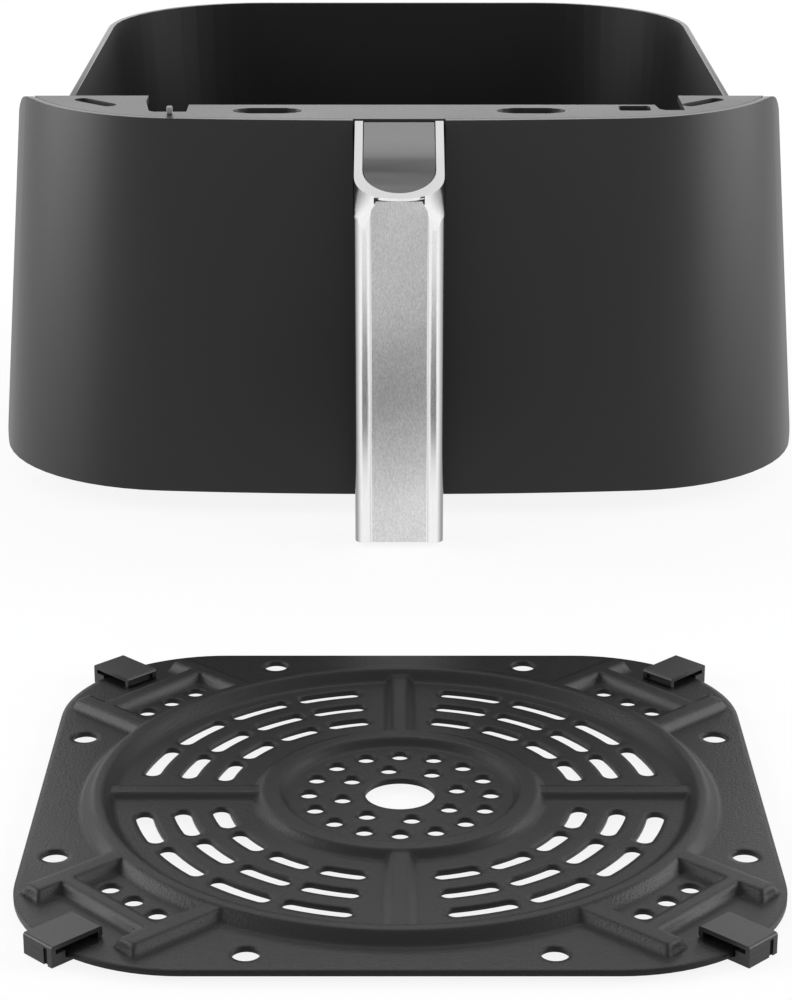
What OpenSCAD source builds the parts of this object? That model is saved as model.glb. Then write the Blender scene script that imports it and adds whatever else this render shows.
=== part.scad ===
// Air fryer drawer with its removable crisper tray.
// The pan stands on z = 0 with its base centred on the origin, and the handle points to -Y.

/* [Pan] */
// Outer width and length of the pan across its rolled rim
pan_w = 260; // [236:1:290]
// Height of the rim above the base
pan_h = 151; // [120:1:175]
// Thickness of the pan's sheet
pan_wall = 1.6; // [1.2:0.1:2.5]
// How far each wall leans in between rim and base
pan_draft = 11; // [8:0.5:14]
// Rim corner radius at the back
pan_rear_r = 67; // [50:1:76]
// Rim corner radius at the front, under the ledge
pan_front_r = 24; // [18:1:32]
// Corner radius of the base
pan_base_r = 56; // [46:1:66]
// Radius between the base and the walls
pan_floor_r = 9; // [6:0.5:12]
// Width of the rolled rim
rim_w = 4; // [3:0.25:5]
// Height of the rolled rim
rim_h = 4; // [3:0.25:6]
// How far the front wall stops short of the ledge's top
front_wall_drop = 7; // [5:0.5:10]

/* [Front panel] */
// Distance from the pan's rim to the panel's outer face, at the top centre
panel_gap = 26; // [24:1:36]
// Height of the panel
panel_h = 145; // [115:1:165]
// Height of the panel's lower edge above the pan's base
panel_base_z = 8; // [4:1:14]
// How far the lower edge stands out past the upper one in front
panel_flare = 7; // [3:0.5:8]
// How far the lower edge stands out past the upper one at each side
side_flare = 11; // [3:0.5:14]
// Thickness of the panel's wall
panel_wall = 2.6; // [2:0.1:3.5]
// Radius of the slight bow across the front
bow_r = 946; // [700:10:1400]
// How far the bow stops short of the pan's side
bow_inset = 44; // [38:1:50]
// Corner radius of the panel, seen from above
panel_corner_r = 70; // [60:1:78]
// Angle to which the corner turns
wrap_angle = 76; // [68:1:82]
// How far the side wraps reach back from the front
wrap_depth = 65; // [62:1:90]
// Radius of the wraps' lower rear corners
wrap_round = 8; // [4:0.5:14]
// Height of the wraps' upper rear corners
wrap_fall = 12; // [4:0.5:14]
// Length of the wraps' upper rear corners
wrap_run = 22; // [12:1:28]

/* [Inner frame] */
// Thickness of the ledge
ledge_t = 2.5; // [2:0.1:3.5]
// Thickness of the frame's walls
frame_wall = 2.4; // [2:0.1:3.2]
// Height of the frame's floor above the panel's lower edge
frame_lift = 5; // [3:0.5:9]
// Play between parts that are pushed together
fit_gap = 0.3; // [0.2:0.05:0.5]
// Play between the pan and the frame round it
pan_gap = 1.5; // [1:0.1:2.5]
// Length of the two middle slots
slot_len = 22; // [18:1:32]
// Width of the two middle slots
slot_w = 10.5; // [7:0.5:12]
// Distance of the middle slots from the centre line
slot_x = 50; // [40:1:58]
// Length of the slanted corner pockets
pocket_len = 21; // [15:1:24]
// Width of the slanted corner pockets
pocket_w = 6; // [4:0.5:8]
// Depth of the slanted corner pockets at their outer ends
pocket_deep = 7; // [4:0.5:10]
// Length of the shallow step at each end of a middle slot
slot_step = 2; // [1:0.25:3]
// Width of the latch notch on the left
latch_notch_w = 14.4; // [11:0.2:17]
// Width of the switch notch on the right
switch_notch_w = 9.4; // [7:0.2:12]
// Height of the interlock prong above the ledge
prong_h = 3.2; // [2:0.1:6]
// Thickness of the interlock prong
prong_t = 2.2; // [1.6:0.1:3.5]

/* [Handle] */
// Width of the handle
handle_w = 33; // [30:0.5:42]
// How far the handle stands out from the panel's top edge
handle_reach = 44; // [40:1:56]
// Height of the grip's lower end above the pan's base
handle_base_z = 1.5; // [0.5:0.5:8]
// Height of the grip's front face
handle_front_h = 132; // [110:1:140]
// Depth of the grip, front to back
grip_d = 16; // [14:0.5:18]
// Height of the neck where it meets the panel
neck_h = 35; // [30:1:42]
// Radius of the side beads on the steel shell
bead_r = 3.8; // [3:0.1:5]
// Depth of the recess between the beads
face_recess = 1; // [0.5:0.1:2]
// Thickness of the steel shell
shell_t = 1.2; // [0.8:0.1:1.6]
// Depth of the shell's flanges along the grip
flange_d = 11; // [8:0.5:13]
// Width of the lip round the thumb rest
lip_w = 3; // [2:0.1:4]
// Depth of the lip's rounded front, seen from above
lip_round = 13; // [6:0.5:14]
// Height over which the beads lean back to the lip
lip_run = 12; // [10:0.5:18]
// Thickness of the lip
lip_t = 1; // [0.8:0.1:2]
// Height of the groove between the lip and the recessed face
lip_groove = 0.7; // [0.4:0.1:1.2]
// Thickness of the grip's lower end cap
cap_t = 2; // [1.4:0.1:3]
// Thickness of the thumb rest
insert_t = 2.6; // [2:0.1:3]

/* [Fasteners] */
// Thread diameter of the handle and bracket screws
bolt_d = 5; // [4:0.5:6]
// Thread diameter of the panel screws
tapper_d = 3.5; // [3:0.1:4.5]
// Length of the panel screws
tapper_len = 12; // [10:0.5:14]
// Thickness of the bracket's nuts
nut_t = 2.4; // [2:0.1:3]
// Thickness of the handle's washers
washer_t = 1; // [0.6:0.1:1.4]
// Clearance round a screw's shank
bolt_gap = 0.3; // [0.2:0.05:0.5]
// Thickness of the pan's bracket
bracket_t = 1.5; // [1.2:0.1:2.5]
// Length of the pan's bracket
bracket_len = 110; // [90:1:130]
// Thickness of the heat shield
shield_t = 0.8; // [0.5:0.1:1.2]

/* [Tray] */
// Width and length of the tray's plate
tray_w = 216; // [206:1:228]
// Thickness of the tray's sheet
tray_t = 1.6; // [1.2:0.1:2.2]
// Corner radius of the plate
tray_r = 50; // [44:1:58]
// Distance from the drawer's handle to the tray lying in front
tray_gap = 114; // [60:1:160]
// Height of the outer raised ring
ring_h = 3.4; // [2.5:0.1:4.2]
// Height of the inner raised ring
hub_h = 2.4; // [1.5:0.1:3.2]
// Height of the four spokes
spoke_h = 1.8; // [1.2:0.1:2.4]
// Height of the corner frames
corner_h = 3; // [2:0.1:3.4]
// Radius of the centre hole
hub_hole_r = 10.5; // [8:0.1:12]
// Radius of the small round holes
hole_r = 2.95; // [2:0.05:3.5]
// Radius of the ring of sixteen holes
hole_ring_r = 27.25; // [26:0.25:28]
// Radius of the ring of eight holes
inner_hole_ring_r = 17.5; // [16.5:0.1:19]
// Width of the curved slots
arc_w = 5.3; // [4:0.1:6.5]
// Radius of the innermost ring of curved slots
arc_r = 54.3; // [53:0.1:56]
// Spacing of the three rings of curved slots
arc_pitch = 11.3; // [10.2:0.1:11.6]
// Radius of the eight holes near the edges
edge_hole_r = 3.95; // [3:0.05:5]
// Distance of the edge holes from the plate's edge
edge_hole_inset = 9.3; // [8:0.1:12]

/* [Bumpers] */
// Width of a bumper
bumper_w = 12; // [10:0.5:14]
// Length of a bumper along the tray's diagonal
bumper_len = 17.5; // [15:0.5:20]
// How far a bumper stands out past the plate's corner
bumper_out = 5; // [3.5:0.1:6]
// Height of a bumper above the plate
bumper_h = 3.2; // [2.4:0.1:4]
// Thickness of a bumper's walls
bumper_wall = 1.5; // [1.2:0.1:2]

/* [Hidden] */
$fn = 64;
EPS = 0.01;
CORNER_STEPS = 12;
BOW_STEPS = 6;

// Pan
wall_half = pan_w / 2 - (rim_w - pan_wall) / 2;   // outer face of the wall, at the rim
base_half = wall_half - pan_draft;
FLOOR_ARC = [0, 30, 60, 90];

// Heights and places shared by the ledge, the frame and the panel
ledge_z = panel_base_z + panel_h;
ledge_under_z = ledge_z - ledge_t;
front_wall_z = ledge_z - front_wall_drop;
panel_y = pan_w / 2 + panel_gap;
ledge_end_y = pan_w / 2 - pan_front_r + 2;        // rear edge of the ledge's two ends
ledge_mid_y = pan_w / 2 - rim_w;                  // rear edge of the ledge's middle
frame_z = panel_base_z + frame_lift;
wall_front_y = pan_w / 2 + pan_gap + frame_wall;  // front face of the frame's back wall
wall_rear_y = pan_w / 2 + pan_gap;

// Outline of the panel, seen from above at its upper edge
bow_half = pan_w / 2 - bow_inset;
bow_angle = asin(bow_half / bow_r);
corner_x = bow_half - panel_corner_r * sin(bow_angle);
corner_y = -panel_y + bow_r - (bow_r - panel_corner_r) * cos(bow_angle);
wrap_y = wrap_depth - panel_y;                    // rear ends of the side wraps
straight_len = (wrap_y - corner_y + panel_corner_r * cos(wrap_angle)) / sin(wrap_angle);
panel_half_w = corner_x + panel_corner_r * sin(wrap_angle) + straight_len * cos(wrap_angle);

// Ledge openings
slot_y = -(panel_y - 18.5);
small_slot = [12, 9.3];
small_slot_x = 89.6;
small_slot_y = -(panel_y - 23.2);
latch_notch_x = -80.5;                            // inner side of the left notch
latch_notch_y = -(panel_y - 16.5);
switch_notch_x = 99;                              // inner side of the right notch
switch_notch_y = -(panel_y - 19.5);
notch_lean = 2.5;                                 // how far a slanted side leans
notch_run = 20;
prong_x = -86.4;
prong_y = -(panel_y - 10);
pocket_x = pan_w / 2 - 13.2;
pocket_y = -(panel_y - 35);
pocket_turn = 42;

// Handle
grip_y = panel_y + handle_reach;                  // front face of the grip
grip_top_z = handle_base_z + handle_front_h;
neck_front_y = panel_y - 0.5;                     // where the handle's upper face begins
tower_y = panel_y - panel_wall - 3.4;             // seat of the neck on the frame
neck_z = ledge_z - neck_h;
neck_fillet = 12;
rest_half = handle_w / 2 - lip_w;                 // half width of the thumb rest
handle_slope = (ledge_z - fit_gap - grip_top_z) / (grip_y - neck_front_y);
handle_bolt_z = [neck_z + 0.22 * neck_h, neck_z + 0.5 * neck_h];
handle_bolt_depth = 9;                            // how far the screws go into the core
head_sink = 4;                                    // how deep their washers sit in the tower

// Thumb rest seen from the side: share of its reach, share of its fall
REST_STEPS = [
    [0, 0.01], [0.12, 0.12], [0.27, 0.25], [0.4, 0.36], [0.52, 0.49], [0.66, 0.66], [0.8, 0.82], [1, 1.04]
];

LIP_POWER = 0.84;                                 // 1 makes the lip's front an ellipse, less a flatter one

// Lip of the steel shell: share of its run, share of its roundness
CROWN_STEPS = [[0, 0.02], [0.2, 0.1], [0.4, 0.27], [0.6, 0.5], [0.8, 0.75], [1, 0.94], [1.15, 1]];

// Bracket and screws
bracket_z = 78;
bracket_h = 26;
bracket_flange = 12;
shield_top_z = front_wall_z - 5;
panel_screw_x = 74;
panel_screw_z = [panel_base_z + 30, panel_base_z + 112];
boss_r = 4.6;

// Tray
tray_half = tray_w / 2;
plate_z = bumper_wall;                            // underside of the plate
plate_top_z = plate_z + tray_t;
diagonal = sqrt(2) * (tray_half - tray_r) + tray_r;
bumper_end = diagonal + bumper_out;
bumper_start = bumper_end - bumper_len;
bumper_top = plate_top_z + bumper_h;
pad_start = bumper_start + 3;                     // inner end of the pad under the plate
stem_x = bumper_start + 7;
stem_r = 2.2;
web_t = 3;
window_rim = 1.6;
window_deep = 0.9;
groove_w = 1.6;
groove_deep = 0.6;
tray_y = -(grip_y + tray_gap + tray_half);
press = tray_half / 112;                          // the pressed pattern follows the plate's width
ring_in = 88.4 * press;
ring_crest = [91.8, 95.2] * press;
ring_out = 98.6 * press;
hub_in = 35 * press;
hub_crest = [37.6, 42.9] * press;
hub_out = 45.5 * press;
spoke_crest = 2.4;
spoke_foot = 4.5;
corner_angle = 43;
corner_hole_pitch = 10.9 * press;
corner_hole_d = 104.5 * press;
arm_out = 26.3 * press;
arm_w = 8.6 * press;
arm_crest = 5.4 * press;
arm_start = 89.8 * press;                         // under the outer ring's crest
arm_end = 125.5 * press;
bar_in = 109.6 * press;
bar_out = 117.2 * press;
bar_slope = 1.6;
slot_angles = [17.4, 35.7];
arc_half_len = [4.7, 6.5, 8.2] * press;
edge_hole_x = 42.7 * press;

// ---------- shared shapes ----------

// Solid between horizontal rings of points, each with as many points, counter-clockwise from above
module loft(rings) {
    n = len(rings[0]);
    last = len(rings) - 1;
    sides = [
        for (i = [0 : last - 1], j = [0 : n - 1])
            let (a = i * n + j, b = i * n + (j + 1) % n)
                each [[a, a + n, b + n], [a, b + n, b]]
    ];
    polyhedron(
        points = [for (ring = rings, p = ring) p],
        faces = concat(
            [[for (j = [0 : n - 1]) j]],
            sides,
            [[for (j = [n - 1 : -1 : 0]) last * n + j]]
        )
    );
}

// Extrudes a side view along X, centred: its x becomes Y and its y becomes Z
module across(width) {
    translate([-width / 2, 0, 0]) rotate([90, 0, 90]) linear_extrude(width) children();
}

// Cylinder along Y from y0 towards +Y
module rod_y(r, length, y0 = 0) {
    translate([0, y0, 0]) rotate([-90, 0, 0]) cylinder(r = r, h = length);
}

// Copies its children to the left and the right
module both_sides() {
    children();
    mirror([1, 0, 0]) children();
}

// Rounded rectangle from its corner to its far corner
module rounded_box(low, high, r) {
    translate([low[0] + r, low[1]]) square([high[0] - low[0] - 2 * r, high[1] - low[1]]);
    translate([low[0], low[1] + r]) square([high[0] - low[0], high[1] - low[1] - 2 * r]);
    for (x = [low[0] + r, high[0] - r], y = [low[1] + r, high[1] - r])
        translate([x, y]) circle(r);
}

// Slot of a given overall length and width, along X
module slot(length, width) {
    rounded_box([-length / 2, -width / 2], [length / 2, width / 2], width / 2 - EPS);
}

// Pan-head screw along Y: the head's seat is at y = 0 and the shank runs to +Y or, turned, to -Y
module screw(d, length, head_r, head_h) {
    difference() {
        union() {
            rod_y(d / 2, length);
            rod_y(head_r, head_h, -head_h);
        }
        for (turn = [0, 90])
            rotate([0, turn, 0])
                translate([-head_r * 0.6, -head_h - EPS, -head_r * 0.12])
                    cube([head_r * 1.2, head_h * 0.6, head_r * 0.24]);
    }
}

// ---------- pan ----------

// Ring of points round the pan at height z
function pan_ring(half, rear_r, front_r, z) = [
    for (corner = [[-1, -1, 180], [1, -1, 270], [1, 1, 0], [-1, 1, 90]])
        let (r = corner[1] < 0 ? front_r : rear_r)
            for (i = [0 : CORNER_STEPS])
                let (a = corner[2] + 90 * i / CORNER_STEPS)
                    [corner[0] * (half - r) + r * cos(a), corner[1] * (half - r) + r * sin(a), z]
];

// Drafted tub with a rounded floor edge; inset moves every wall inwards
module tub(inset, floor_z, top_z) {
    r = pan_floor_r;
    top_half = base_half + pan_draft * top_z / pan_h - inset;
    rest = [
        for (a = FLOOR_ARC)
            let (pull = inset + r * (1 - sin(a)))
                pan_ring(base_half - pull, pan_base_r - pull, pan_base_r - pull, floor_z + r * (1 - cos(a)))
    ];
    loft(concat(rest, [pan_ring(top_half, pan_rear_r - inset, pan_front_r - inset, top_z)]));
}

// Section of the rolled rim, measured outwards from the corner's centre
module rim_section(centre_r) {
    translate([centre_r, 0])
        rounded_box([-rim_w / 2, pan_h - rim_h], [rim_w / 2, pan_h], rim_w * 0.3);
}

// Rolled rim: it runs back along both sides and round the rear corners
module rim() {
    line = pan_w / 2 - rim_w / 2;
    far = pan_w / 2 - pan_rear_r;
    bend = line - far;
    both_sides() {
        translate([far, far, 0]) rotate_extrude(angle = 90) rim_section(bend);
        translate([far, far, 0])
            rotate([90, 0, 0]) linear_extrude(far + ledge_end_y - fit_gap) rim_section(bend);
    }
    translate([-far, far, 0]) rotate([90, 0, 90]) linear_extrude(2 * far) rim_section(bend);
}

module pan() {
    color([0.13, 0.13, 0.14])
    difference() {
        union() {
            tub(0, 0, pan_h - rim_h / 2);
            rim();
        }
        tub(pan_wall, pan_wall, pan_h + 1);
        translate([-pan_w, -pan_w - ledge_end_y + fit_gap, front_wall_z])
            cube([2 * pan_w, pan_w, pan_h]);
        // room for the housings of the frame's corner pockets
        pocket(ledge_t / 2 + fit_gap);
    }
}

// Outer face of the pan's front wall at height z
function front_wall_y(z) = -(base_half + pan_draft * z / pan_h);

// Hat-shaped bracket, welded to the front wall and screwed to the frame
module pan_bracket() {
    low = bracket_z - bracket_h / 2;
    high = bracket_z + bracket_h / 2;
    crown = -(wall_rear_y - shield_t);
    foot = [low - bracket_flange, high + bracket_flange];
    color([0.62, 0.63, 0.65])
    difference() {
        across(bracket_len) polygon([
            [front_wall_y(foot[0]) - 0.05, foot[0]],
            [front_wall_y(foot[0]) - bracket_t, foot[0]],
            [front_wall_y(low) - bracket_t, low],
            [crown, low],
            [crown, high],
            [front_wall_y(high) - bracket_t, high],
            [front_wall_y(foot[1]) - bracket_t, foot[1]],
            [front_wall_y(foot[1]) - 0.05, foot[1]],
            [front_wall_y(high - bracket_t) - 0.05, high - bracket_t],
            [crown + bracket_t, high - bracket_t],
            [crown + bracket_t, low + bracket_t],
            [front_wall_y(low + bracket_t) - 0.05, low + bracket_t]
        ]);
        for (x = [-1, 1] * bracket_len * 0.3)
            translate([x, 0, bracket_z]) rod_y(bolt_d / 2 + bolt_gap, 4 * bracket_t, crown - bracket_t);
    }
}

// Screws that pass through frame, shield and bracket
module bracket_screws() {
    length = frame_wall + shield_t + bracket_t + 1.5 * nut_t;
    color([0.75, 0.76, 0.78])
    for (x = [-1, 1] * bracket_len * 0.3)
        translate([x, -wall_front_y, bracket_z]) screw(bolt_d, length, 0.9 * bolt_d, 0.56 * bolt_d);
}

// Square nuts on the bracket's crown
module bracket_nuts() {
    nut = 1.6 * bolt_d;
    color([0.7, 0.71, 0.73])
    for (x = [-1, 1] * bracket_len * 0.3)
        translate([x, 0, bracket_z]) difference() {
            translate([-nut / 2, -(wall_rear_y - shield_t - bracket_t), -nut / 2]) cube([nut, nut_t, nut]);
            rod_y(bolt_d / 2 + EPS, 4 * nut_t, -wall_rear_y);
        }
}

// Thin sheet between the pan and the plastic frame
module heat_shield() {
    half = pan_w / 2 - pan_front_r - 12;
    low = frame_z + frame_wall + 6;
    color([0.8, 0.81, 0.82])
    translate([0, -wall_rear_y, 0])
    difference() {
        translate([-half, 0, low]) cube([2 * half, shield_t, shield_top_z - low]);
        for (x = [-1, 1] * bracket_len * 0.3)
            translate([x, 0, bracket_z]) rod_y(bolt_d / 2 + bolt_gap, 3, -1);
        for (x = [-1, 1] * panel_screw_x, z = panel_screw_z)
            translate([x, 0, z]) rod_y(tapper_d + 1, 3, -1);
        for (z = handle_bolt_z)
            translate([0, 0, z]) rod_y(bolt_d + 1.5, 3, -1);
    }
}

// ---------- front panel and inner frame ----------

// Outline of the panel from above, moved inwards by inset, with its ends drawn out by extra
function half_outline(inset, extra) = concat(
    [
        for (i = [0 : BOW_STEPS])
            let (a = bow_angle * i / BOW_STEPS, r = bow_r - inset)
                [r * sin(a), bow_r - panel_y - r * cos(a)]
    ],
    [
        for (i = [1 : CORNER_STEPS])
            let (a = bow_angle + (wrap_angle - bow_angle) * i / CORNER_STEPS, r = panel_corner_r - inset)
                [corner_x + r * sin(a), corner_y - r * cos(a)]
    ],
    [
        let (r = panel_corner_r - inset, run = straight_len + extra)
            [
                corner_x + r * sin(wrap_angle) + run * cos(wrap_angle),
                corner_y - r * cos(wrap_angle) + run * sin(wrap_angle)
            ]
    ]
);

// The same outline as a closed ring at height z, where the panel is wider the lower it is
function panel_ring(inset, extra, z) =
    let (
        half = half_outline(inset, extra),
        n = len(half),
        fall = (ledge_z - z) / panel_h,
        grow_x = 1 + side_flare / panel_half_w * fall,
        grow_y = 1 + panel_flare / panel_y * fall
    )
    [
        for (i = [1 - n : n - 1])
            let (p = half[abs(i)]) [(i < 0 ? -p[0] : p[0]) * grow_x, p[1] * grow_y, z]
    ];

// Everything inside the panel's outline between two heights
module panel_body(inset, extra, low, high) {
    loft([panel_ring(inset, extra, low), panel_ring(inset, extra, high)]);
}

// Side view that rounds the wraps' rear corners
module wrap_side() {
    back = wrap_y * (1 + panel_flare / panel_y);
    polygon(concat(
        [[-2 * panel_y, ledge_z], [-2 * panel_y, panel_base_z]],
        [
            for (a = [0 : 15 : 90])
                [back - wrap_round * (1 - sin(a)), panel_base_z + wrap_round * (1 - cos(a))]
        ],
        [
            for (a = [0 : 15 : 90])
                [wrap_y - wrap_run * (1 - cos(a)) + EPS * (90 - a), ledge_z - wrap_fall * (1 - sin(a))]
        ]
    ));
}

// Boss that takes a panel screw, seen along Y
module panel_bosses() {
    for (x = [-1, 1] * panel_screw_x, z = panel_screw_z)
        translate([x, 0, z]) rod_y(boss_r, panel_y, -panel_y - wall_front_y - fit_gap);
}

module front_panel() {
    color([0.2, 0.2, 0.21])
    difference() {
        intersection() {
            difference() {
                panel_body(0, 0, panel_base_z, ledge_z);
                difference() {
                    panel_body(panel_wall, 2 * panel_wall, panel_base_z - EPS, ledge_z + EPS);
                    panel_bosses();
                }
            }
            across(2 * pan_w) wrap_side();
        }
        for (x = [-1, 1] * panel_screw_x, z = panel_screw_z)
            translate([x, 0, z]) rod_y(tapper_d / 2 + EPS, tapper_len + 1, -wall_front_y - tapper_len - 1);
        translate([-handle_w / 2 - 0.8, -2 * panel_y, neck_z - 0.8])
            cube([handle_w + 1.6, 2 * panel_y, neck_h + 1]);
    }
}

// Openings through the ledge, seen from above
module ledge_openings() {
    for (x = [-1, 1] * slot_x) translate([x, slot_y]) slot(slot_len, slot_w);
    translate([small_slot_x, small_slot_y])
        rounded_box(-small_slot / 2, small_slot / 2, 1.5);
    // latch notch, slanted on its outer side
    translate([latch_notch_x, latch_notch_y])
        slanted_notch(latch_notch_w, -1);
    // switch notch, slanted on its inner side
    translate([switch_notch_x + switch_notch_w, switch_notch_y])
        slanted_notch(switch_notch_w, -1);
}

// Notch open to the back, from its square side towards the side it leans to
module slanted_notch(width, way) {
    polygon([
        [0, 0], [0, pan_w], [way * (width + notch_lean), pan_w],
        [way * (width + notch_lean), notch_run], [way * width, 2], [way * (width - 2), 0]
    ]);
}

// Corner pocket with a floor that rises towards the middle; grow thickens it into its housing
module pocket(grow) {
    both_sides() translate([pocket_x, pocket_y, ledge_z]) rotate(pocket_turn) intersection() {
        translate([0, 0, -pan_h]) linear_extrude(2 * pan_h)
            slot(pocket_len + 2 * grow, pocket_w + 2 * grow);
        translate([0, pocket_w, 0]) rotate([90, 0, 0]) linear_extrude(2 * pocket_w) polygon([
            [-pocket_len / 2 - grow, -0.3 - grow], [pocket_len * 0.18, -0.62 * pocket_deep - grow],
            [pocket_len * 0.26, -pocket_deep - grow], [pocket_len / 2 + grow, -pocket_deep - grow],
            [pocket_len / 2 + grow, grow == 0 ? 1 : -EPS], [-pocket_len / 2 - grow, grow == 0 ? 1 : -EPS]
        ]);
    }
}

// Ledge seen from above, before its openings
module ledge_plan() {
    difference() {
        translate([-pan_w, -2 * panel_y]) square([2 * pan_w, 2 * panel_y - ledge_end_y]);
        translate([latch_notch_x - 1, -ledge_mid_y])
            square([switch_notch_x - latch_notch_x + 2, pan_w]);
    }
}

// Wall round the front of the pan, with wings out to the panel, seen from above
module frame_wall_plan() {
    inner = pan_w / 2 + pan_gap;
    outer = inner + frame_wall;
    difference() {
        union() {
            rounded_box([-outer, -outer], [outer, 0], pan_front_r + pan_gap + frame_wall);
            translate([-pan_w, -ledge_end_y - frame_wall]) square([2 * pan_w, frame_wall]);
        }
        rounded_box([-inner, -inner], [inner, 40], pan_front_r + pan_gap);
        translate([-pan_w, -ledge_end_y]) square([2 * pan_w, pan_w]);
    }
}

module inner_frame() {
    color([0.24, 0.24, 0.25])
    difference() {
        intersection() {
            panel_body(panel_wall + fit_gap, 0, frame_z, ledge_z);
            union() {
                translate([0, 0, ledge_under_z]) linear_extrude(ledge_t) ledge_plan();
                translate([0, 0, frame_z]) linear_extrude(ledge_z - frame_z) frame_wall_plan();
                // floor that closes the space behind the panel
                translate([0, 0, frame_z]) linear_extrude(frame_wall) difference() {
                    translate([-pan_w, -2 * panel_y]) square([2 * pan_w, 2 * panel_y - ledge_end_y]);
                    rounded_box([-pan_w / 2, -pan_w / 2], [pan_w / 2, 40], pan_front_r);
                }
                // lip that covers the lowered front wall of the pan
                translate([latch_notch_x, -ledge_mid_y - frame_wall, front_wall_z + fit_gap]) cube([
                    switch_notch_x - notch_lean - latch_notch_x, frame_wall, front_wall_drop - fit_gap - EPS
                ]);
                // tower that the handle's neck is screwed to
                translate([-handle_w / 2 + 1, -tower_y, neck_z])
                    cube([handle_w - 2, tower_y - wall_front_y + EPS, neck_h - EPS]);
                pocket(ledge_t / 2);
            }
        }
        pocket(0);
        for (x = [-1, 1] * slot_x)
            translate([x, slot_y, ledge_z - ledge_t / 3])
                linear_extrude(ledge_t) slot(slot_len + 2 * slot_step, slot_w * 0.8);
        translate([0, 0, front_wall_z]) linear_extrude(pan_h) ledge_openings();
        for (x = [-1, 1] * bracket_len * 0.3)
            translate([x, 0, bracket_z])
                rod_y(bolt_d / 2 + bolt_gap, 3 * frame_wall, -wall_front_y - frame_wall);
        for (x = [-1, 1] * panel_screw_x, z = panel_screw_z)
            translate([x, 0, z]) rod_y(tapper_d / 2 + bolt_gap, 3 * frame_wall, -wall_front_y - frame_wall);
        for (z = handle_bolt_z) translate([0, 0, z]) {
            rod_y(bolt_d / 2 + bolt_gap, pan_w / 2, -tower_y - 1);
            rod_y(bolt_d + 2 * bolt_gap, 4 * head_sink, -wall_front_y - head_sink);
        }
    }
}

// Upright prong in the latch notch
module interlock_prong() {
    color([0.3, 0.3, 0.31])
    translate([prong_x, prong_y, 0])
        across(prong_t) rounded_box([0, ledge_z], [2.6, ledge_z + prong_h], 1);
}

// Screws that hold the panel's bosses to the frame
module panel_screws() {
    color([0.55, 0.56, 0.58])
    for (x = [-1, 1] * panel_screw_x, z = panel_screw_z)
        translate([x, -wall_rear_y, z])
            mirror([0, 1, 0]) screw(tapper_d, tapper_len, 0.95 * tapper_d, 0.5 * tapper_d);
}

// ---------- handle ----------

// Upper edge of the handle's side view at a given distance y in front of the origin
function top_z(y) = ledge_z - fit_gap - handle_slope * (y - neck_front_y);

// Side view of the whole handle; drop lowers its upper edge, lift raises its lower end
module handle_side(drop, lift, depth) {
    back = grip_y - depth;
    polygon(concat(
        [
            [-grip_y, handle_base_z + lift],
            [-back, handle_base_z + lift],
            [-back, neck_z - neck_fillet]
        ],
        [
            for (a = [15 : 15 : 90])
                [-back + neck_fillet * (1 - cos(a)), neck_z - neck_fillet * (1 - sin(a))]
        ],
        [
            [-tower_y, neck_z],
            [-tower_y, ledge_z - fit_gap - drop],
            [-neck_front_y, ledge_z - fit_gap - drop],
            [-grip_y, grip_top_z - drop]
        ]
    ));
}

// Handle seen from above: two beads with a recessed face between them
module handle_plan(inset) {
    bead_x = handle_w / 2 - bead_r;
    bead_y = bead_r - grip_y;
    translate([-handle_w / 2 + inset, bead_y])
        square([handle_w - 2 * inset, grip_y - tower_y - bead_r + 1]);
    for (x = [-bead_x, bead_x]) translate([x, bead_y]) circle(bead_r - inset);
    translate([-bead_x, -grip_y + face_recess + inset]) square([2 * bead_x, bead_r]);
}

// Ring round the handle at height z, with a front that is rounder the larger depth is
function crown_ring(depth, inset, z) =
    let (half = handle_w / 2 + EPS - inset, front = depth - grip_y + inset)
    concat(
        [
            for (a = [180 : 7.5 : 360]) [
                half * sign(cos(a)) * pow(abs(cos(a)), LIP_POWER),
                front - depth * pow(abs(sin(a)), LIP_POWER),
                z
            ]
        ],
        [[half, EPS - tower_y + 1, z], [-half, EPS - tower_y + 1, z]]
    );

// Room for the handle: square below, and rounded in front where the lip is
module crown(inset) {
    start = grip_top_z - lip_run - inset;
    loft(concat(
        [crown_ring(0.02 * lip_round, inset, 0)],
        [for (step = CROWN_STEPS) crown_ring(step[1] * lip_round, inset, start + step[0] * lip_run)],
        [crown_ring(lip_round, inset, 2 * ledge_z)]
    ));
}

// Everything inside the handle's outline, inset all round
module handle_body(inset) {
    intersection() {
        linear_extrude(2 * ledge_z) handle_plan(inset);
        crown(inset);
    }
}

// Mouth of the thumb rest, seen from above
module rest_mouth(inset) {
    reach = lip_round;
    half = rest_half - inset;
    front = grip_y - lip_w - inset;
    polygon(concat(
        [[half, -tower_y + 1], [half, reach - front]],
        [for (a = [10 : 10 : 170]) [half * cos(a), reach - front - reach * sin(a)]],
        [[-half, reach - front], [-half, -tower_y + 1]]
    ));
}

// Side view of what the steel shell covers: the front of the grip and all of the neck
module shell_side() {
    difference() {
        handle_side(0, 0, flange_d);
        translate([-neck_front_y + 0.2, 0]) square([panel_y, 2 * ledge_z]);
    }
}

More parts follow.
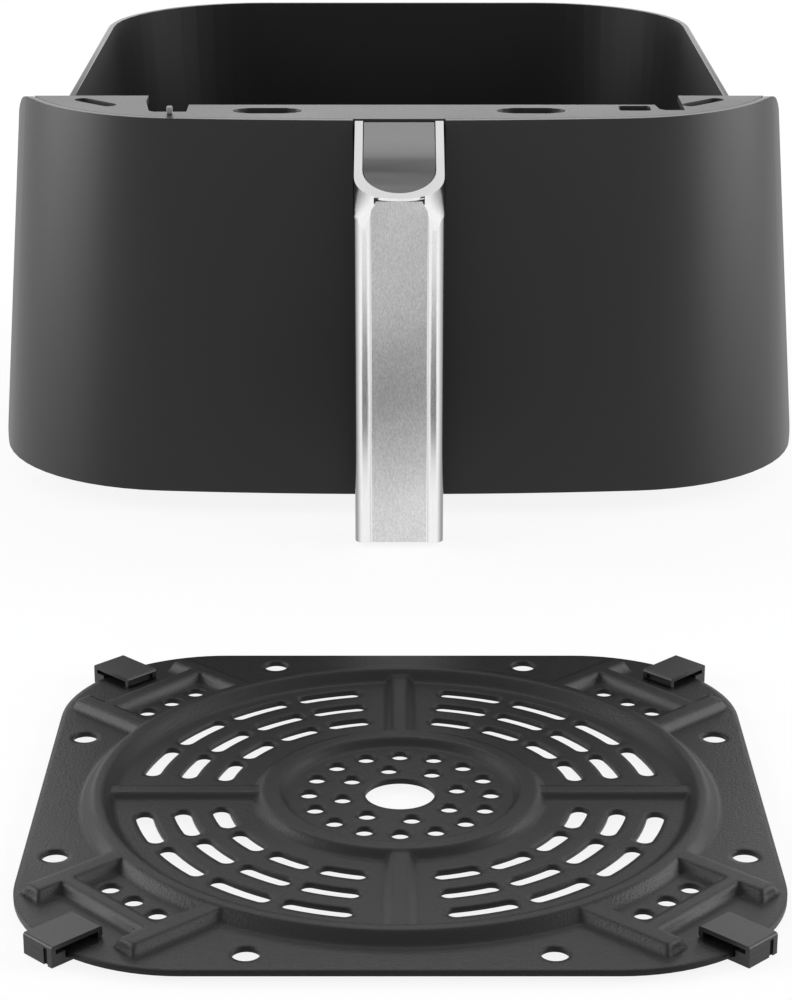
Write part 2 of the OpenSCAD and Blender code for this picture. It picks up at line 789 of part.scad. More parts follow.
module handle_shell() {
    face_half = handle_w / 2 - 2 * bead_r;
    color([0.72, 0.72, 0.71])
    union() {
        difference() {
            intersection() {
                across(2 * handle_w) shell_side();
                difference() {
                    handle_body(0);
                    handle_body(shell_t);
                }
            }
            // groove that sets the lip off from the recessed face
            intersection() {
                across(2 * face_half) difference() {
                    translate([0, -lip_t + EPS]) shell_side();
                    translate([0, -lip_t - lip_groove]) shell_side();
                }
                translate([-handle_w, -grip_y - 1, grip_top_z - lip_run])
                    cube([2 * handle_w, 1 + face_recess + shell_t / 2, lip_run]);
            }
        }
        // sloping top with the mouth of the thumb rest
        intersection() {
            across(2 * handle_w) difference() {
                shell_side();
                translate([0, -lip_t]) shell_side();
                translate([-2 * grip_y, -1]) square([2 * grip_y, grip_top_z - 2 * cap_t]);
            }
            difference() {
                crown(0);
                linear_extrude(2 * ledge_z) rest_mouth(0);
            }
        }
    }
}

// Moulded body of the handle, behind and inside the steel shell
module handle_core() {
    color([0.11, 0.11, 0.12])
    difference() {
        union() {
            intersection() {
                across(2 * handle_w) handle_side(lip_t + 0.15, cap_t + 0.1, grip_d);
                handle_body(shell_t + 0.15);
            }
            // full width behind the shell's flanges
            intersection() {
                across(handle_w) difference() {
                    handle_side(lip_t + 0.15, 0, grip_d);
                    handle_side(-20, -20, flange_d + 0.15);
                }
                translate([-handle_w / 2, -grip_y, handle_base_z])
                    cube([handle_w, handle_reach, neck_z - neck_fillet]);
            }
        }
        intersection() {
            across(2 * handle_w) rest_side(pan_h, -insert_t - 0.15);
            linear_extrude(2 * ledge_z) rest_mouth(0);
        }
        for (z = handle_bolt_z)
            translate([0, -tower_y - handle_bolt_depth, z])
                rod_y(bolt_d / 2 + EPS, handle_bolt_depth + 1);
        // room for the frame's ledge
        translate([-handle_w, -neck_front_y, ledge_under_z - fit_gap])
            cube([2 * handle_w, neck_front_y, pan_h]);
    }
}

// Side view of the thumb rest's upper face, with the space between two levels under it
module rest_side(upper, lower) {
    top = [
        for (step = REST_STEPS) [
            -neck_front_y - step[0] * (grip_y - neck_front_y),
            ledge_z - fit_gap - step[1] * (ledge_z - grip_top_z)
        ]
    ];
    last = len(top) - 1;
    polygon(concat(
        [for (p = top) p + [0, upper]],
        [for (i = [last : -1 : 0]) top[i] + [0, lower]]
    ));
}

// Glossy thumb rest
module handle_insert() {
    color([0.3, 0.3, 0.31])
    intersection() {
        across(2 * handle_w) rest_side(0, -insert_t);
        translate([-handle_w, -2 * panel_y, 0])
            cube([2 * handle_w, 2 * panel_y - neck_front_y - 0.2, 2 * ledge_z]);
        linear_extrude(2 * ledge_z) rest_mouth(0.15);
    }
}

// Cap that closes the grip's lower end, inside the shell
module handle_end_cap() {
    color([0.12, 0.12, 0.13])
    translate([0, 0, handle_base_z]) linear_extrude(cap_t) intersection() {
        handle_plan(shell_t + 0.1);
        translate([-handle_w / 2, -grip_y]) square([handle_w, flange_d]);
    }
}

module handle_screws() {
    color([0.75, 0.76, 0.78])
    for (z = handle_bolt_z)
        translate([0, -wall_front_y - head_sink + washer_t, z])
            mirror([0, 1, 0]) screw(
                bolt_d, tower_y - wall_front_y - head_sink + washer_t + handle_bolt_depth - 0.5,
                0.8 * bolt_d, 0.52 * bolt_d
            );
}

module handle_washers() {
    color([0.68, 0.69, 0.71])
    for (z = handle_bolt_z) translate([0, 0, z]) difference() {
        rod_y(bolt_d, washer_t, -wall_front_y - head_sink);
        rod_y(bolt_d / 2 + bolt_gap, 3 * washer_t, -wall_front_y - head_sink - washer_t);
    }
}

// ---------- tray ----------

// Ridge along X with sloping sides and sloping ends
module ridge(x0, x1, y_mid, crest, foot, h) {
    run = (foot - crest);
    translate([0, y_mid, 0]) intersection() {
        translate([x0, 0, 0]) rotate([90, 0, 90]) linear_extrude(x1 - x0)
            polygon([[-foot, 0], [foot, 0], [crest, h], [-crest, h]]);
        translate([0, 2 * foot, 0]) rotate([90, 0, 0]) linear_extrude(4 * foot)
            polygon([[x0, 0], [x1, 0], [x1 - run, h], [x0, h]]);
    }
}

// Raised ring with sloping sides
module raised_ring(inner, crest, outer, h) {
    rotate_extrude() polygon([[inner, 0], [outer, 0], [crest[1], h], [crest[0], h]]);
}

// All the pressed ridges, standing on z = 0; grow widens them for their outer faces
module ridges(grow) {
    raised_ring(ring_in - grow, ring_crest + [-grow, grow] * 0.6, ring_out + grow, ring_h);
    raised_ring(hub_in - grow, hub_crest + [-grow, grow] * 0.6, hub_out + grow, hub_h);
    for (a = [0 : 90 : 270]) rotate(a)
        ridge(hub_crest[1], ring_crest[0], 0, spoke_crest + grow * 0.6, spoke_foot + grow, spoke_h);
    for (a = corner_turns()) rotate(a) {
        for (side = [-1, 1])
            ridge(arm_start, arm_end, side * (arm_out - arm_w / 2),
                arm_crest / 2 + grow * 0.6, arm_w / 2 + grow, corner_h);
        translate([(bar_in + bar_out) / 2, 0, 0]) rotate(90)
            ridge(-arm_out + arm_w / 2, arm_out - arm_w / 2, 0,
                (bar_out - bar_in) / 2 - bar_slope + grow * 0.6, (bar_out - bar_in) / 2 + grow, corner_h);
    }
}

// Directions of the four corner frames
function corner_turns() = [corner_angle, 180 - corner_angle, 180 + corner_angle, -corner_angle];

// Curved slot on a ring
module arc_slot(radius, angle, half_len) {
    half_angle = half_len * 180 / (PI * radius);
    rotate(angle) {
        rotate(-half_angle) rotate_extrude(angle = 2 * half_angle)
            translate([radius - arc_w / 2, -1]) square([arc_w, 2 * ring_h + 2]);
        for (a = [-1, 1] * half_angle)
            rotate(a) translate([radius, 0, -1]) cylinder(d = arc_w, h = 2 * ring_h + 2);
    }
}

// All the holes of the plate
module tray_holes() {
    deep = 2 * ring_h + 2;
    translate([0, 0, -1]) cylinder(r = hub_hole_r, h = deep);
    for (i = [0 : 15]) rotate(22.5 * i) translate([hole_ring_r, 0, -1]) cylinder(r = hole_r, h = deep);
    for (i = [0 : 7]) rotate(11.25 + 45 * i)
        translate([inner_hole_ring_r, 0, -1]) cylinder(r = hole_r, h = deep);
    for (ring = [0 : 2], quarter = [0 : 90 : 270], a = slot_angles, side = [0, 1])
        arc_slot(arc_r + ring * arc_pitch, quarter + (side == 0 ? a : 90 - a), arc_half_len[ring]);
    for (a = corner_turns(), y = [-1, 0, 1] * corner_hole_pitch)
        rotate(a) translate([corner_hole_d, y, -1]) cylinder(r = hole_r, h = deep);
    for (a = [0 : 90 : 270], side = [-1, 1])
        rotate(a) translate([tray_half - edge_hole_inset, side * edge_hole_x, -1])
            cylinder(r = edge_hole_r, h = deep);
    for (a = [45 : 90 : 315])
        rotate(a) translate([stem_x, 0, -1]) cylinder(r = stem_r + 0.2, h = deep);
}

module tray_plate() {
    color([0.21, 0.21, 0.22])
    translate([0, tray_y, plate_z])
    difference() {
        union() {
            linear_extrude(tray_t) rounded_box([-tray_half, -tray_half], [tray_half, tray_half], tray_r);
            translate([0, 0, tray_t]) ridges(0);
        }
        translate([0, 0, -EPS]) ridges(-tray_t * 0.7);
        tray_holes();
    }
}

// Soft bumper clipped over a corner of the plate, along +X before it is turned
module bumper(turn) {
    color([0.14, 0.14, 0.15])
    translate([0, tray_y, 0]) rotate(turn) {
        difference() {
            union() {
                // cap over the corner, open towards both sides
                rotate([90, 0, 0]) linear_extrude(bumper_w, center = true) difference() {
                    rounded_box([bumper_start, plate_top_z], [bumper_end, bumper_top], 0.8);
                    translate([bumper_start + bumper_wall, 0])
                        square([bumper_len - 2 * bumper_wall, bumper_top - bumper_wall * 0.9]);
                }
                // outer wall past the plate's edge
                translate([diagonal + 0.2, -bumper_w / 2, 0])
                    cube([bumper_out - 0.2, bumper_w, plate_top_z + 0.5]);
            }
            // window in the inner end
            translate([bumper_start - 1, window_rim - bumper_w / 2, plate_top_z + 0.5])
                cube([1 + window_deep, bumper_w - 2 * window_rim, bumper_h - 1.5]);
            // groove down the outer face
            translate([bumper_end - groove_deep, bumper_w * 0.22, -1])
                cube([2 * groove_deep, groove_w, bumper_top - 0.2]);
        }
        // pad under the plate
        translate([pad_start, -bumper_w / 2, 0]) cube([diagonal + 0.3 - pad_start, bumper_w, plate_z]);
        // web and stem that pass through the plate
        translate([pad_start, -web_t / 2, plate_top_z]) cube([bumper_len - 4, web_t, bumper_h - 1]);
        translate([stem_x, 0, plate_z - EPS]) cylinder(r = stem_r, h = tray_t + 2 * EPS);
    }
}

module bumper_front_left() { bumper(225); }
module bumper_front_right() { bumper(315); }
module bumper_rear_left() { bumper(135); }
module bumper_rear_right() { bumper(45); }

pan();
pan_bracket();
bracket_screws();
bracket_nuts();
heat_shield();
inner_frame();
interlock_prong();
front_panel();
panel_screws();
handle_core();
handle_shell();
handle_insert();
handle_end_cap();
handle_screws();
handle_washers();
tray_plate();
bumper_front_left();
bumper_front_right();
bumper_rear_left();
bumper_rear_right();
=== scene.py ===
import math

import bpy
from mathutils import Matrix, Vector


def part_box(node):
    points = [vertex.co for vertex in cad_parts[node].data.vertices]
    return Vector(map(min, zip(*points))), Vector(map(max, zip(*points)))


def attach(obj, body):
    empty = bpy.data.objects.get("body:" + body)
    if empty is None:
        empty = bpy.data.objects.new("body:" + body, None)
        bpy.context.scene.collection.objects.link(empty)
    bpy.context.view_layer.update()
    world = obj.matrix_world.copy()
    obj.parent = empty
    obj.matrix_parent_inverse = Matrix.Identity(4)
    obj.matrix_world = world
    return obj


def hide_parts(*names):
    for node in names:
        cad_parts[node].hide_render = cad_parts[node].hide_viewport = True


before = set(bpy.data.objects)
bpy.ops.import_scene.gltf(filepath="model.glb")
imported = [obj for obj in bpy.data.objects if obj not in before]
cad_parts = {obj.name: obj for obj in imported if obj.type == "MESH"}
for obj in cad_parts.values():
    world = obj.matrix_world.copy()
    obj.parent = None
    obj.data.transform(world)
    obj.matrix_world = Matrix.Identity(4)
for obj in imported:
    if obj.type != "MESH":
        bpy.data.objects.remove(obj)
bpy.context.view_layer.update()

# ---------------------------------------------------------------------------------------------
# Set and camera.
# A pale table with a low horizon stands in a white tent, with tall soft boxes at both sides
# and behind. The camera looks down on the drawer's handle with the tray lying in front of it.

scene = bpy.context.scene
scene.view_settings.view_transform = "Standard"

bpy.ops.object.select_all(action="DESELECT")
bpy.ops.mesh.primitive_plane_add(size=12, location=(0, 0, -0.0004))
table_top = bpy.context.object
table_top.name = "table_top"


def seen_directly(nodes, links):
    """1 for rays from the camera, from shiny surfaces and through clear ones."""
    ray = nodes.new("ShaderNodeLightPath")
    either = nodes.new("ShaderNodeMath")
    either.operation = "MAXIMUM"
    any_ray = nodes.new("ShaderNodeMath")
    any_ray.operation = "MAXIMUM"
    links.new(ray.outputs["Is Camera Ray"], either.inputs[0])
    links.new(ray.outputs["Is Glossy Ray"], either.inputs[1])
    links.new(either.outputs[0], any_ray.inputs[0])
    links.new(ray.outputs["Is Transmission Ray"], any_ray.inputs[1])
    return any_ray.outputs[0]


paper_shadow_share = 0.88
paper = bpy.data.materials.new("white_paper")
paper.use_nodes = True
nodes = paper.node_tree.nodes
links = paper.node_tree.links
nodes.clear()
paper_out = nodes.new("ShaderNodeOutputMaterial")
paper_matt = nodes.new("ShaderNodeBsdfDiffuse")
paper_matt.inputs["Color"].default_value = (0.86, 0.86, 0.86, 1)
paper_glow = nodes.new("ShaderNodeEmission")
paper_glow.inputs["Strength"].default_value = 1.0
paper_share = nodes.new("ShaderNodeMath")
paper_share.operation = "MULTIPLY"
paper_share.inputs[1].default_value = paper_shadow_share
paper_mix = nodes.new("ShaderNodeMixShader")
links.new(seen_directly(nodes, links), paper_share.inputs[0])
links.new(paper_share.outputs[0], paper_mix.inputs[0])
links.new(paper_matt.outputs[0], paper_mix.inputs[1])
links.new(paper_glow.outputs[0], paper_mix.inputs[2])
links.new(paper_mix.outputs[0], paper_out.inputs["Surface"])
table_top.data.materials.append(paper)

world = bpy.data.worlds.new("white_tent")
scene.world = world
world.use_nodes = True
nodes = world.node_tree.nodes
links = world.node_tree.links
nodes.clear()
tent_out = nodes.new("ShaderNodeOutputWorld")
tent_light = nodes.new("ShaderNodeBackground")
tent_light.inputs["Color"].default_value = (0.95, 0.96, 1.0, 1)
tent_light.inputs["Strength"].default_value = 0.5
tent_seen = nodes.new("ShaderNodeBackground")
tent_seen.inputs["Color"].default_value = (1, 1, 1, 1)
tent_seen.inputs["Strength"].default_value = 1.0
tent_mix = nodes.new("ShaderNodeMixShader")
links.new(seen_directly(nodes, links), tent_mix.inputs[0])
links.new(tent_light.outputs[0], tent_mix.inputs[1])
links.new(tent_seen.outputs[0], tent_mix.inputs[2])
links.new(tent_mix.outputs[0], tent_out.inputs["Surface"])


def soft_box(name, place, aim, wide, tall, watts):
    """A rectangular lamp at a place, turned towards a point."""
    lamp = bpy.data.lights.new(name, "AREA")
    lamp.shape = "RECTANGLE"
    lamp.size = wide
    lamp.size_y = tall
    lamp.energy = watts
    stand = bpy.data.objects.new(name, lamp)
    scene.collection.objects.link(stand)
    stand.location = place
    stand.rotation_euler = (Vector(aim) - Vector(place)).to_track_quat("-Z", "Y").to_euler()
    return stand


drawer_middle = (0, -0.12, 0.08)
soft_boxes = [
    soft_box("soft_box_left", (-1.55, -0.22, 0.5), drawer_middle, 1.4, 1.0, 27),
    soft_box("soft_box_right", (1.55, -0.22, 0.5), drawer_middle, 1.4, 1.0, 27),
    soft_box("soft_box_key", (0.0, 0.75, 1.5), drawer_middle, 1.4, 0.6, 6.5),
    soft_box("soft_box_back", (0.0, 1.7, 0.7), drawer_middle, 2.6, 1.1, 9),
]

view_distance = 1.176
view_height = 0.361
view_side = -0.0012
view_pitch = 0.3374
focal_px = 2768.5
frame_height_px = 1000
camera = bpy.data.cameras.new("camera")
camera.sensor_fit = "VERTICAL"
camera.sensor_height = 24.0
camera.lens = focal_px / frame_height_px * camera.sensor_height
camera.clip_start = 0.05
camera_stand = bpy.data.objects.new("camera", camera)
scene.collection.objects.link(camera_stand)
camera_stand.location = (view_side, -view_distance, view_height)
camera_stand.rotation_euler = (math.pi / 2 - view_pitch, 0, 0)
scene.camera = camera_stand

# ---------------------------------------------------------------------------------------------
# Pan.
# A deep-drawn sheet-metal tub with a rolled rim, sprayed in and out with dark non-stick coating.


def welded_copy(node, name):
    """The bare form of a CAD node, with its loose triangles welded and its flat seams cleared."""
    bpy.ops.object.select_all(action="DESELECT")
    piece = bpy.data.objects.new(name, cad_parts[node].data.copy())
    scene.collection.objects.link(piece)
    bpy.context.view_layer.objects.active = piece
    piece.select_set(True)
    bpy.ops.mesh.customdata_custom_splitnormals_clear()
    bpy.ops.object.mode_set(mode="EDIT")
    bpy.ops.mesh.select_all(action="SELECT")
    bpy.ops.mesh.remove_doubles(threshold=0.000005)
    bpy.ops.mesh.dissolve_limited(angle_limit=math.radians(0.3))
    bpy.ops.object.mode_set(mode="OBJECT")
    return piece


def round_edges(piece, width, segments=2, from_angle=50):
    """Breaks every edge that turns by more than an angle."""
    edges = piece.modifiers.new("rounded_edges", "BEVEL")
    edges.width = width
    edges.segments = segments
    edges.limit_method = "ANGLE"
    edges.angle_limit = math.radians(from_angle)
    edges.miter_outer = "MITER_ARC"
    bpy.ops.object.modifier_apply(modifier=edges.name)


def smooth_skin(piece, angle=40):
    """Smooth shading over gentle turns, led by the large faces."""
    bpy.ops.object.shade_smooth_by_angle(angle=math.radians(angle))
    skin = piece.modifiers.new("even_normals", "WEIGHTED_NORMAL")
    skin.keep_sharp = True
    bpy.ops.object.modifier_apply(modifier=skin.name)


def hand_in(piece, node, body, slot, *materials):
    """Gives a finished piece its materials and its body, and hides the CAD node that it stands
    for.
    """
    piece.data.materials.clear()
    for material in materials:
        piece.data.materials.append(material)
    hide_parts(node)
    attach(piece, body)


def number_socket(group, name, value=None):
    """Adds an input with a value, or an output without one."""
    side = "OUTPUT" if value is None else "INPUT"
    socket = group.interface.new_socket(name, in_out=side, socket_type="NodeSocketFloat")
    if value is not None:
        socket.default_value = value


def grain_group():
    """Fine grain, soft clouds and the roughness they make, for sprayed and moulded surfaces."""
    group = bpy.data.node_groups.new("surface_grain", "ShaderNodeTree")
    number_socket(group, "Grain size", 900.0)
    number_socket(group, "Cloud size", 14.0)
    number_socket(group, "Roughness low", 0.4)
    number_socket(group, "Roughness high", 0.5)
    for name in ("Grain", "Clouds", "Roughness"):
        number_socket(group, name)
    nodes = group.nodes
    links = group.links
    entry = nodes.new("NodeGroupInput")
    leave = nodes.new("NodeGroupOutput")
    where = nodes.new("ShaderNodeTexCoord")
    grain = nodes.new("ShaderNodeTexNoise")
    grain.inputs["Detail"].default_value = 3
    clouds = nodes.new("ShaderNodeTexNoise")
    clouds.inputs["Detail"].default_value = 4
    for noise, size in ((grain, "Grain size"), (clouds, "Cloud size")):
        links.new(where.outputs["Object"], noise.inputs["Vector"])
        links.new(entry.outputs[size], noise.inputs["Scale"])
    both = nodes.new("ShaderNodeMath")
    both.operation = "ADD"
    links.new(grain.outputs["Fac"], both.inputs[0])
    links.new(clouds.outputs["Fac"], both.inputs[1])
    rough = nodes.new("ShaderNodeMapRange")
    rough.inputs["From Min"].default_value = 0.6
    rough.inputs["From Max"].default_value = 1.4
    links.new(both.outputs[0], rough.inputs["Value"])
    links.new(entry.outputs["Roughness low"], rough.inputs["To Min"])
    links.new(entry.outputs["Roughness high"], rough.inputs["To Max"])
    links.new(grain.outputs["Fac"], leave.inputs["Grain"])
    links.new(clouds.outputs["Fac"], leave.inputs["Clouds"])
    links.new(rough.outputs["Result"], leave.inputs["Roughness"])
    return group


def wear_group():
    """1 along outer and inner edges and 0 on open faces, broken up as handling leaves it."""
    group = bpy.data.node_groups.new("edge_wear", "ShaderNodeTree")
    number_socket(group, "Width", 0.0006)
    number_socket(group, "Strength", 0.5)
    number_socket(group, "Wear")
    nodes = group.nodes
    links = group.links
    entry = nodes.new("NodeGroupInput")
    leave = nodes.new("NodeGroupOutput")
    rounded = nodes.new("ShaderNodeBevel")
    rounded.samples = 4
    links.new(entry.outputs["Width"], rounded.inputs["Radius"])
    plain = nodes.new("ShaderNodeNewGeometry")
    turn = nodes.new("ShaderNodeVectorMath")
    turn.operation = "DOT_PRODUCT"
    links.new(rounded.outputs["Normal"], turn.inputs[0])
    links.new(plain.outputs["Normal"], turn.inputs[1])
    near = nodes.new("ShaderNodeMapRange")
    near.inputs["From Min"].default_value = 0.99
    near.inputs["From Max"].default_value = 0.8
    links.new(turn.outputs["Value"], near.inputs["Value"])
    where = nodes.new("ShaderNodeTexCoord")
    patches = nodes.new("ShaderNodeTexNoise")
    patches.inputs["Scale"].default_value = 180.0
    links.new(where.outputs["Object"], patches.inputs["Vector"])
    broken = nodes.new("ShaderNodeMath")
    broken.operation = "MULTIPLY"
    links.new(near.outputs["Result"], broken.inputs[0])
    links.new(patches.outputs["Fac"], broken.inputs[1])
    scaled = nodes.new("ShaderNodeMath")
    scaled.operation = "MULTIPLY"
    links.new(broken.outputs[0], scaled.inputs[0])
    links.new(entry.outputs["Strength"], scaled.inputs[1])
    links.new(scaled.outputs[0], leave.inputs["Wear"])
    return group


surface_grain = grain_group()
edge_wear = wear_group()


def grained(name, dark, light, worn, rough, ior, grain_size, bump, cloud_size=14.0, wear=0.5):
    """A grained surface that drifts between two tones and is rubbed lighter along its edges."""
    material = bpy.data.materials.new(name)
    material.use_nodes = True
    nodes = material.node_tree.nodes
    links = material.node_tree.links
    skin = nodes["Principled BSDF"]
    skin.inputs["IOR"].default_value = ior
    grain = nodes.new("ShaderNodeGroup")
    grain.node_tree = surface_grain
    grain.inputs["Grain size"].default_value = grain_size
    grain.inputs["Cloud size"].default_value = cloud_size
    grain.inputs["Roughness low"].default_value = rough[0]
    grain.inputs["Roughness high"].default_value = rough[1]
    rubbed = nodes.new("ShaderNodeGroup")
    rubbed.node_tree = edge_wear
    rubbed.inputs["Strength"].default_value = wear
    tone = nodes.new("ShaderNodeMix")
    tone.data_type = "RGBA"
    tone.inputs["A"].default_value = (*dark, 1)
    tone.inputs["B"].default_value = (*light, 1)
    links.new(grain.outputs["Clouds"], tone.inputs["Factor"])
    edged = nodes.new("ShaderNodeMix")
    edged.data_type = "RGBA"
    edged.inputs["B"].default_value = (*worn, 1)
    links.new(rubbed.outputs["Wear"], edged.inputs["Factor"])
    links.new(tone.outputs["Result"], edged.inputs["A"])
    links.new(edged.outputs["Result"], skin.inputs["Base Color"])
    links.new(grain.outputs["Roughness"], skin.inputs["Roughness"])
    relief = nodes.new("ShaderNodeBump")
    relief.inputs["Strength"].default_value = bump
    relief.inputs["Distance"].default_value = 0.0002
    links.new(grain.outputs["Grain"], relief.inputs["Height"])
    links.new(relief.outputs["Normal"], skin.inputs["Normal"])
    return material


pan_inside = grained(
    "pan_inside", (0.0085, 0.0085, 0.0088), (0.011, 0.011, 0.0114), (0.03, 0.03, 0.03),
    rough=(0.42, 0.5), ior=1.17, grain_size=1100, bump=0.1)
pan_outside = grained(
    "pan_outside", (0.012, 0.012, 0.0124), (0.018, 0.018, 0.0184), (0.05, 0.05, 0.05),
    rough=(0.3, 0.38), ior=1.37, grain_size=1100, bump=0.1)
pan = welded_copy("pan", "pan_finished")
round_edges(pan, 0.0005)
bpy.ops.object.shade_smooth_by_angle(angle=math.radians(30))
hand_in(pan, "pan", "drawer", "nonstick", pan_inside, pan_outside)
rim_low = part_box("pan")[1][2] - 0.004
for face in pan.data.polygons:
    faces_out = face.normal.x * face.center.x + face.normal.y * face.center.y > 0
    on_rim = face.normal.z > 0.3 and face.center.z > rim_low
    if faces_out or on_rim or face.normal.z < -0.5:
        face.material_index = 1

# ---------------------------------------------------------------------------------------------
# Bracket, screws, nuts and heat shield.
# A zinc-plated hat section is welded to the pan's front wall, and screws clamp the plastic
# frame and a thin aluminium sheet against it.


def dress(node, material):
    """Gives a CAD node its finish."""
    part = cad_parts[node]
    part.data.materials.clear()
    part.data.materials.append(material)


def plain_metal(name, colour, rough, grain_size):
    """Plain metal with faint blotches."""
    shade = tuple(c * 0.85 for c in colour)
    bright = tuple(min(1, c * 1.1) for c in colour)
    material = grained(name, shade, colour, bright, rough, 1.5, grain_size, 0.08, 40.0)
    material.node_tree.nodes["Principled BSDF"].inputs["Metallic"].default_value = 1.0
    return material


zinc_plate = plain_metal("zinc_plate", (0.6, 0.61, 0.62), (0.3, 0.45), 1500)
for fastener in ("pan_bracket", "bracket_screws", "bracket_nuts"):
    dress(fastener, zinc_plate)
shield_sheet = plain_metal("shield_sheet", (0.7, 0.7, 0.71), (0.25, 0.4), 700)
dress("heat_shield", shield_sheet)

# ---------------------------------------------------------------------------------------------
# Inner frame and its prong.
# One black grained moulding behind the panel, with slots, notches and slanted pockets in the
# ledge that meets the machine. The prong, in light grey, stands up in the left notch.

frame_plastic = grained(
    "frame_plastic", (0.016, 0.016, 0.017), (0.026, 0.026, 0.027), (0.06, 0.06, 0.06),
    rough=(0.38, 0.5), ior=1.43, grain_size=1300, bump=0.35)
prong_plastic = grained(
    "prong_plastic", (0.2, 0.2, 0.21), (0.26, 0.26, 0.27), (0.35, 0.35, 0.36),
    rough=(0.38, 0.5), ior=1.43, grain_size=1300, bump=0.2)
for node, name, plastic in (("inner_frame", "frame_finished", frame_plastic),
                            ("interlock_prong", "prong_finished", prong_plastic)):
    moulding = welded_copy(node, name)
    round_edges(moulding, 0.0004)
    smooth_skin(moulding)
    hand_in(moulding, node, "drawer", "frame", plastic)

# ---------------------------------------------------------------------------------------------
# Front panel.
# A bowed cover of black plastic with a fine satin skin, screwed on from behind. Its edges are
# well rounded, most of all the upper one.

panel_plastic = grained(
    "panel_plastic", (0.004, 0.004, 0.0044), (0.006, 0.006, 0.0065), (0.02, 0.02, 0.02),
    rough=(0.36, 0.42), ior=1.42, grain_size=1800, bump=0.1, wear=0.3)
panel = welded_copy("front_panel", "panel_finished")
round_edges(panel, 0.0011, 3)
smooth_skin(panel)
hand_in(panel, "front_panel", "drawer", "panel", panel_plastic)
dress("panel_screws", zinc_plate)

# ---------------------------------------------------------------------------------------------
# Handle.
# A black moulded core carries a bent and brushed steel shell with two beads, a glossy thumb
# rest in its mouth and a cap below. Two long screws hold it from inside the drawer.

core_plastic = grained(
    "core_plastic", (0.006, 0.006, 0.0065), (0.01, 0.01, 0.0105), (0.03, 0.03, 0.03),
    rough=(0.4, 0.5), ior=1.42, grain_size=1500, bump=0.12)
for node, name in (("handle_core", "core_finished"), ("handle_end_cap", "cap_finished")):
    moulding = welded_copy(node, name)
    round_edges(moulding, 0.0004)
    smooth_skin(moulding)
    hand_in(moulding, node, "drawer", "handle", core_plastic)
for fastener in ("handle_screws", "handle_washers"):
    dress(fastener, zinc_plate)

rest_plastic = grained(
    "rest_plastic", (0.006, 0.006, 0.0066), (0.009, 0.009, 0.0098), (0.05, 0.05, 0.05),
    rough=(0.16, 0.2), ior=1.52, grain_size=1500, bump=0.03)
rest = welded_copy("handle_insert", "rest_finished")
round_edges(rest, 0.0004, 3)
smooth_skin(rest)
hand_in(rest, "handle_insert", "drawer", "insert", rest_plastic)


def brushed(name, dark, light, side, rough, stretch, bump):
    """Steel with short fine scratches along its length, and painted shade that darkens it where it
    turns to the sides.
    """
    material = bpy.data.materials.new(name)
    material.use_nodes = True
    nodes = material.node_tree.nodes
    links = material.node_tree.links
    skin = nodes["Principled BSDF"]
    skin.inputs["Metallic"].default_value = 1.0
    where = nodes.new("ShaderNodeTexCoord")
    along = nodes.new("ShaderNodeMapping")
    along.inputs["Scale"].default_value = (2600, 2600, 2600 / stretch)
    scratches = nodes.new("ShaderNodeTexNoise")
    scratches.inputs["Scale"].default_value = 1.0
    scratches.inputs["Detail"].default_value = 2
    links.new(where.outputs["Object"], along.inputs["Vector"])
    links.new(along.outputs["Vector"], scratches.inputs["Vector"])
    clouds = nodes.new("ShaderNodeTexNoise")
    clouds.inputs["Scale"].default_value = 22.0
    links.new(where.outputs["Object"], clouds.inputs["Vector"])
    both = nodes.new("ShaderNodeMath")
    both.operation = "ADD"
    links.new(scratches.outputs["Fac"], both.inputs[0])
    links.new(clouds.outputs["Fac"], both.inputs[1])
    tint = nodes.new("ShaderNodeMapRange")
    tint.inputs["From Min"].default_value = 0.7
    tint.inputs["From Max"].default_value = 1.3
    links.new(both.outputs[0], tint.inputs["Value"])
    tone = nodes.new("ShaderNodeMix")
    tone.data_type = "RGBA"
    tone.inputs["A"].default_value = (*dark, 1)
    tone.inputs["B"].default_value = (*light, 1)
    links.new(tint.outputs["Result"], tone.inputs["Factor"])
    # painted shade: the colour goes to the side tone as the normal turns sideways, in place of the
    # dark reflection at the flanks
    way = nodes.new("ShaderNodeSeparateXYZ")
    links.new(where.outputs["Normal"], way.inputs[0])
    sideways = nodes.new("ShaderNodeMath")
    sideways.operation = "ABSOLUTE"
    links.new(way.outputs["X"], sideways.inputs[0])
    turned = nodes.new("ShaderNodeMapRange")
    turned.interpolation_type = "SMOOTHSTEP"
    turned.inputs["From Min"].default_value = 0.3
    turned.inputs["From Max"].default_value = 0.9
    links.new(sideways.outputs[0], turned.inputs["Value"])
    shaded = nodes.new("ShaderNodeMix")
    shaded.data_type = "RGBA"
    shaded.inputs["B"].default_value = (*side, 1)
    links.new(turned.outputs["Result"], shaded.inputs["Factor"])
    links.new(tone.outputs["Result"], shaded.inputs["A"])
    links.new(shaded.outputs["Result"], skin.inputs["Base Color"])
    spread = nodes.new("ShaderNodeMapRange")
    spread.inputs["To Min"].default_value = rough[0]
    spread.inputs["To Max"].default_value = rough[1]
    links.new(scratches.outputs["Fac"], spread.inputs["Value"])
    links.new(spread.outputs["Result"], skin.inputs["Roughness"])
    relief = nodes.new("ShaderNodeBump")
    relief.inputs["Strength"].default_value = bump
    relief.inputs["Distance"].default_value = 0.0001
    links.new(scratches.outputs["Fac"], relief.inputs["Height"])
    links.new(relief.outputs["Normal"], skin.inputs["Normal"])
    return material
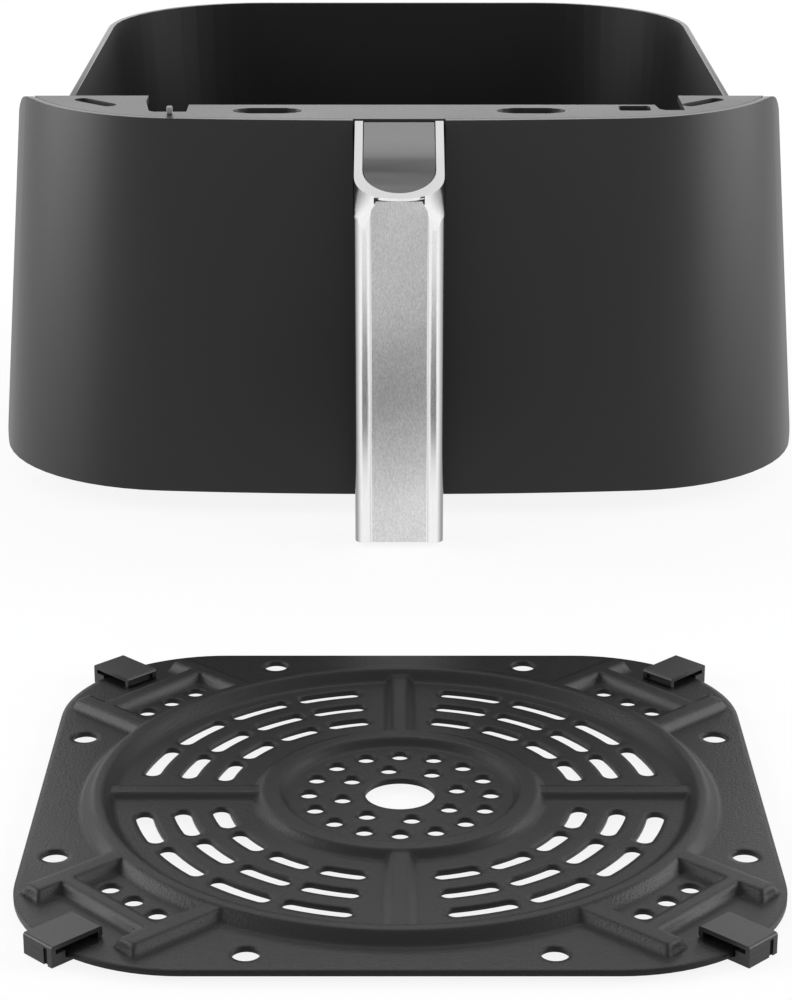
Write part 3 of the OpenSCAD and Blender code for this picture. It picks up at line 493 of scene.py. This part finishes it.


# painted shade for where the steel turns to the sides
painted_side_shade = (0.3, 0.3, 0.3)
# the one shell steel in three painted tones: the beads brighter as a painted highlight, the
# recessed face darker as painted shade, and the up-facing lip its own painted top light
bead_steel_painted_highlight = brushed(
    "bead_steel_painted_highlight", (0.88, 0.88, 0.875), (0.98, 0.98, 0.975), painted_side_shade, (0.2, 0.28), 12, 0.02)
face_steel_painted_shade = brushed(
    "face_steel_painted_shade", (0.56, 0.56, 0.56), (0.86, 0.86, 0.855), painted_side_shade, (0.28, 0.4), 2.5, 0.05)
lip_steel_painted_top_light = brushed(
    "lip_steel_painted_top_light", (0.66, 0.66, 0.66), (0.76, 0.76, 0.755), (0.6, 0.6, 0.6), (0.26, 0.34), 1, 0.03)
shell = welded_copy("handle_shell", "shell_finished")
round_edges(shell, 0.0002, 2, 60)
smooth_skin(shell)
hand_in(shell, "handle_shell", "drawer", "steel", bead_steel_painted_highlight, face_steel_painted_shade, lip_steel_painted_top_light, core_plastic)
shell_low, shell_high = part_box("handle_shell")
bead_front = shell_low[1]
bead_radius = 0.0038
face_recess = 0.001
face_half = shell_high[0] - 2 * bead_radius
groove_low = 0.131
# up-facing lip faces take the painted top light, and the face between the beads takes the darker
# painted-shade steel
for face in shell.data.polygons:
    depth = face.center.y - bead_front
    if face.normal.z > 0.86 and face.center.z > groove_low:
        face.material_index = 2
    elif abs(face.center.x) < face_half + 0.0001 and face_recess - 0.0003 < depth < 0.004:
        # painted shadow: the groove under the lip is given the black core plastic as a dark shadow
        # line
        in_painted_shadow_groove = depth > face_recess + 0.0001 and face.center.z > groove_low
        face.material_index = 3 if in_painted_shadow_groove else 1

# the bright steel mirrors the white tent alone, and the soft boxes would burn it out
tent_lit = bpy.data.collections.new("tent_lit_steel")
tent_lit.objects.link(shell)
tent_lit.collection_objects[0].light_linking.link_state = "EXCLUDE"
for lamp in soft_boxes:
    lamp.light_linking.receiver_collection = tent_lit

# ---------------------------------------------------------------------------------------------
# Crisper tray.
# A pressed sheet with raised rings, spokes and corner frames, punched with slots and holes,
# under a dark grained non-stick coating.

tray_coating = grained(
    "tray_coating", (0.004, 0.004, 0.0043), (0.007, 0.007, 0.0074), (0.03, 0.03, 0.03),
    rough=(0.34, 0.44), ior=1.31, grain_size=1500, bump=0.6, wear=0.4)
nodes = tray_coating.node_tree.nodes
links = tray_coating.node_tree.links
pressed = nodes.new("ShaderNodeBevel")
pressed.samples = 6
pressed.inputs["Radius"].default_value = 0.0022
links.new(pressed.outputs["Normal"], nodes["Bump"].inputs["Normal"])
plate = welded_copy("tray_plate", "plate_finished")
smooth_skin(plate, 30)
hand_in(plate, "tray_plate", "tray", "tray_coating", tray_coating)

# ---------------------------------------------------------------------------------------------
# Bumpers.
# Four soft silicone clips grip the plate's corners, each moulded in one with a thin roof on an
# outer wall and a middle web, a window in its inner end and a groove down its outer face.

silicone = grained(
    "silicone", (0.008, 0.008, 0.0085), (0.012, 0.012, 0.0125), (0.03, 0.03, 0.03),
    rough=(0.4, 0.48), ior=1.42, grain_size=900, bump=0.12)
for corner in ("front_left", "front_right", "rear_left", "rear_right"):
    bumper = welded_copy("bumper_" + corner, "soft_" + corner)
    round_edges(bumper, 0.0003)
    smooth_skin(bumper)
    hand_in(bumper, "bumper_" + corner, "tray", "silicone", silicone)
